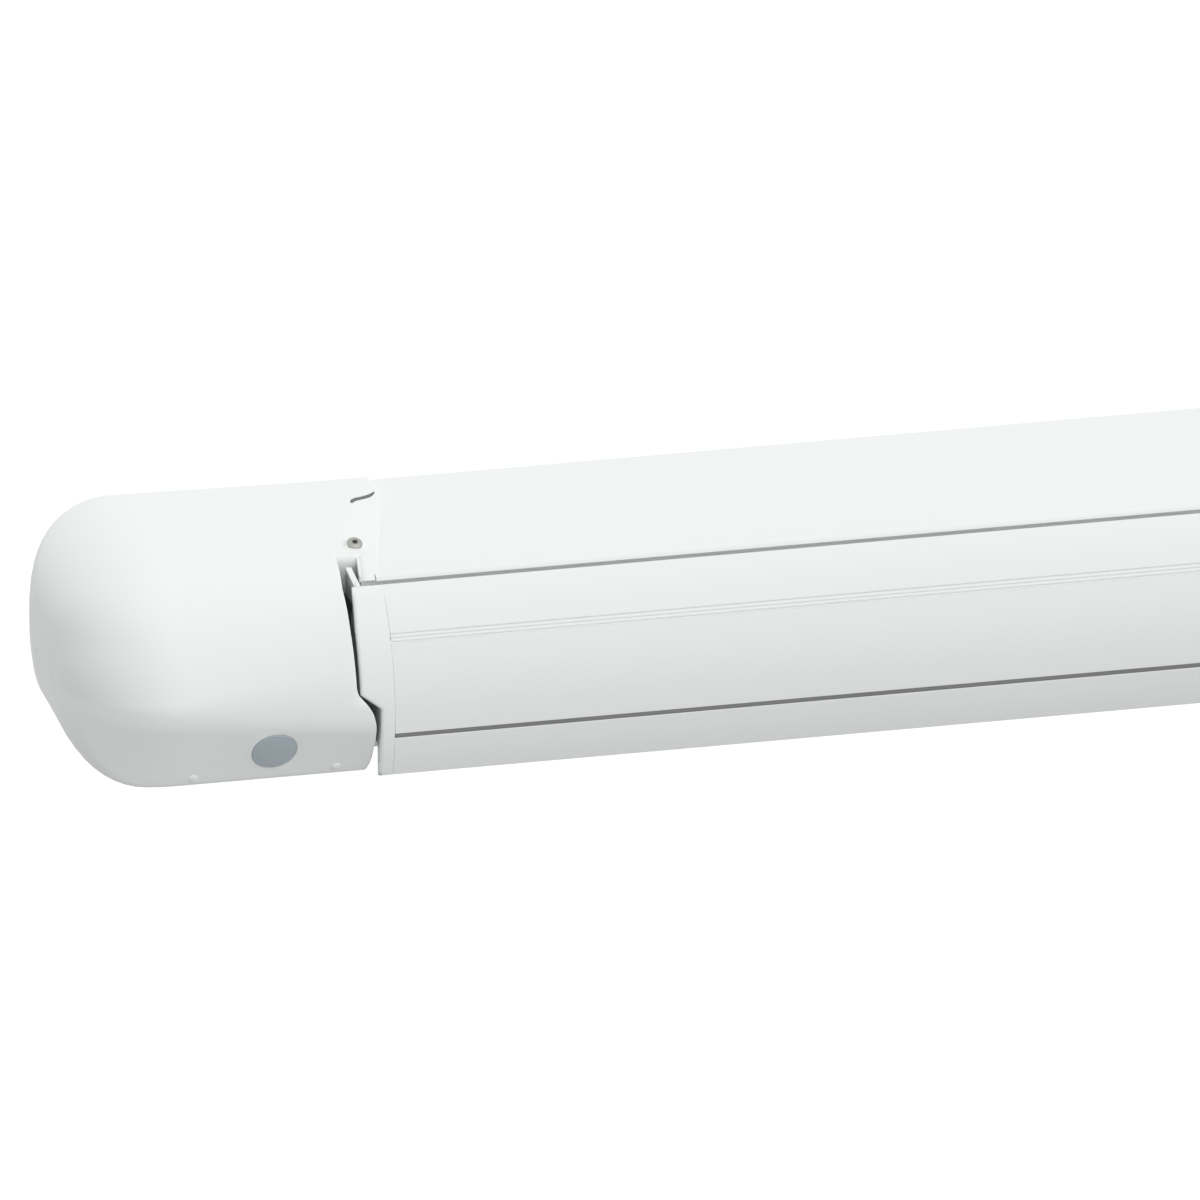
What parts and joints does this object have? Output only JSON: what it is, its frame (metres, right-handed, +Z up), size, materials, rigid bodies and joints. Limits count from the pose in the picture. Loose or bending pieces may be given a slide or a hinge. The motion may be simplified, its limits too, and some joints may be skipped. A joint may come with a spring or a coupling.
{
  "type": "roll out awning",
  "caption": "Long white cassette awning for a camper: rounded end caps, a lead bar with folding arms and legs, and a cloth on a motor roller.",
  "frame": {"origin": "centre of the flat back face of the case", "axes": "+X along the awning, +Y out of the back face, +Z up; the open front faces -Y"},
  "size_m": [3.19, 0.2089, 0.1315],
  "materials": {
    "cap_plastic": "satin moulded white",
    "white_coat": "satin white powder coat",
    "mill_aluminium": "extruded, anodised",
    "cast_aluminium": "cast, fine blasted",
    "steel": "bright zinc and stainless",
    "black_plastic": "matte black",
    "dark_rubber": "matte dark grey rubber",
    "plug_plastic": "satin blue grey",
    "awning_cloth": "coated awning cloth, plain weave"
  },
  "bodies": {
    "case": {"rear_profile": "white_coat", "top_cover": "white_coat", "left_end_cap": "cap_plastic", "right_end_cap": "cap_plastic", "left_end_plate": "cast_aluminium", "right_end_plate": "cast_aluminium", "tube_motor": "black_plastic", "idle_bush": "black_plastic", "nose_seal": "dark_rubber", "cap_screws": "steel", "cap_studs": "cap_plastic", "shoulder_brackets": "cast_aluminium", "shoulder_pins": "steel", "shoulder_bolts": "steel", "mounting_nuts": "steel", "canopy": "awning_cloth"},
    "override_plug": {"override_plug": "plug_plastic"},
    "roller": {"roller_tube": "mill_aluminium", "drive_wheel": "black_plastic", "bearing_ring": "black_plastic", "idle_plug": "black_plastic", "cloth_roll": "awning_cloth"},
    "hem": {"hem_rod": "awning_cloth"},
    "lead_bar": {"lead_bar_profile": "white_coat", "left_bar_cap": "cap_plastic", "right_bar_cap": "cap_plastic", "rail_filler": "dark_rubber", "bar_cap_screws": "steel", "wrist_brackets": "cast_aluminium", "wrist_pins": "steel", "leg_hinge_plates": "steel", "leg_pins": "steel"},
    "left_upper_arm": {"left_shoulder_knuckle": "cast_aluminium", "left_upper_tube": "white_coat", "left_elbow_fork": "cast_aluminium", "left_elbow_pin": "steel", "left_arm_spring": "steel"},
    "left_forearm": {"left_elbow_tongue": "cast_aluminium", "left_forearm_tube": "white_coat", "left_wrist_knuckle": "cast_aluminium"},
    "left_leg": {"left_leg_tube": "white_coat", "left_leg_collar": "black_plastic"},
    "left_leg_lever": {"left_leg_lever": "black_plastic"},
    "left_leg_inner": {"left_leg_inner": "mill_aluminium"},
    "left_leg_foot": {"left_leg_foot": "dark_rubber"},
    "right_upper_arm": {"right_shoulder_knuckle": "cast_aluminium", "right_upper_tube": "white_coat", "right_elbow_fork": "cast_aluminium", "right_elbow_pin": "steel", "right_arm_spring": "steel"},
    "right_forearm": {"right_elbow_tongue": "cast_aluminium", "right_forearm_tube": "white_coat", "right_wrist_knuckle": "cast_aluminium"},
    "right_leg": {"right_leg_tube": "white_coat", "right_leg_collar": "black_plastic"},
    "right_leg_lever": {"right_leg_lever": "black_plastic"},
    "right_leg_inner": {"right_leg_inner": "mill_aluminium"},
    "right_leg_foot": {"right_leg_foot": "dark_rubber"}
  },
  "joints": [
    {"name": "left_shoulder", "type": "hinge", "parent": "case", "child": "left_upper_arm", "pos_m": [-1.31, -0.09101, -0.031], "axis": [0, 0.1219, -0.9925], "range_deg": [0, 63.36]},
    {"name": "left_elbow", "type": "hinge", "parent": "left_upper_arm", "child": "left_forearm", "pos_m": [-0.06, -0.1049, -0.03271], "axis": [0, -0.1219, 0.9925], "range_deg": [0, 126.72]},
    {"name": "left_wrist", "type": "hinge", "parent": "left_forearm", "child": "lead_bar", "pos_m": [-1.31, -0.1188, -0.03441], "axis": [0, 0.1219, -0.9925], "range_deg": [0, 63.36]},
    {"name": "right_shoulder", "type": "hinge", "parent": "case", "child": "right_upper_arm", "pos_m": [1.31, -0.09101, -0.031], "axis": [0, -0.1219, 0.9925], "range_deg": [0, 63.36]},
    {"name": "right_elbow", "type": "hinge", "parent": "right_upper_arm", "child": "right_forearm", "pos_m": [0.06, -0.1049, -0.03271], "axis": [0, 0.1219, -0.9925], "range_deg": [0, 126.72]},
    {"name": "roller_turn", "type": "hinge", "parent": "case", "child": "roller", "pos_m": [0, -0.04999, 0.01502], "axis": [1, 0, 0], "range_deg": [0, 3760]},
    {"name": "hem_travel", "type": "slide", "parent": "case", "child": "hem", "axis": [0, -0.9925, -0.1219], "range_m": [0, 2.2202], "deforming": ["canopy"]},
    {"name": "override_plug_pull", "type": "slide", "parent": "case", "child": "override_plug", "axis": [0, -0.8996, -0.4368], "range_m": [0, 0.03]},
    {"name": "left_leg_swing", "type": "hinge", "parent": "lead_bar", "child": "left_leg", "pos_m": [-1.3, -0.18325, -0.048], "axis": [0, 1, 0], "range_deg": [0, 90]},
    {"name": "left_leg_lever_turn", "type": "hinge", "parent": "left_leg", "child": "left_leg_lever", "pos_m": [-0.2255, -0.18325, -0.0611], "axis": [0, 1, 0], "range_deg": [0, 100]},
    {"name": "left_leg_extend", "type": "slide", "parent": "left_leg", "child": "left_leg_inner", "axis": [1, 0, 0], "range_m": [0, 0.9]},
    {"name": "left_foot_tilt", "type": "hinge", "parent": "left_leg_inner", "child": "left_leg_foot", "pos_m": [-0.172, -0.18325, -0.048], "axis": [0, 1, 0], "range_deg": [-15, 15]},
    {"name": "right_leg_swing", "type": "hinge", "parent": "lead_bar", "child": "right_leg", "pos_m": [1.3, -0.15875, -0.048], "axis": [0, -1, 0], "range_deg": [0, 90]},
    {"name": "right_leg_lever_turn", "type": "hinge", "parent": "right_leg", "child": "right_leg_lever", "pos_m": [0.2255, -0.15875, -0.0611], "axis": [0, -1, 0], "range_deg": [0, 100]},
    {"name": "right_leg_extend", "type": "slide", "parent": "right_leg", "child": "right_leg_inner", "axis": [-1, 0, 0], "range_m": [0, 0.9]},
    {"name": "right_foot_tilt", "type": "hinge", "parent": "right_leg_inner", "child": "right_leg_foot", "pos_m": [0.172, -0.15875, -0.048], "axis": [0, -1, 0], "range_deg": [-15, 15]}
  ],
  "couplings": [
    {"joint": "left_elbow", "follows": "left_shoulder", "ratio": 2},
    {"joint": "left_wrist", "follows": "left_shoulder", "ratio": 1},
    {"joint": "right_shoulder", "follows": "left_shoulder", "ratio": 1},
    {"joint": "right_elbow", "follows": "left_shoulder", "ratio": 2},
    {"joint": "roller_turn", "follows": "left_shoulder", "ratio": 59.274},
    {"joint": "hem_travel", "follows": "left_shoulder", "m_per_rad": 2.0068}
  ]
}
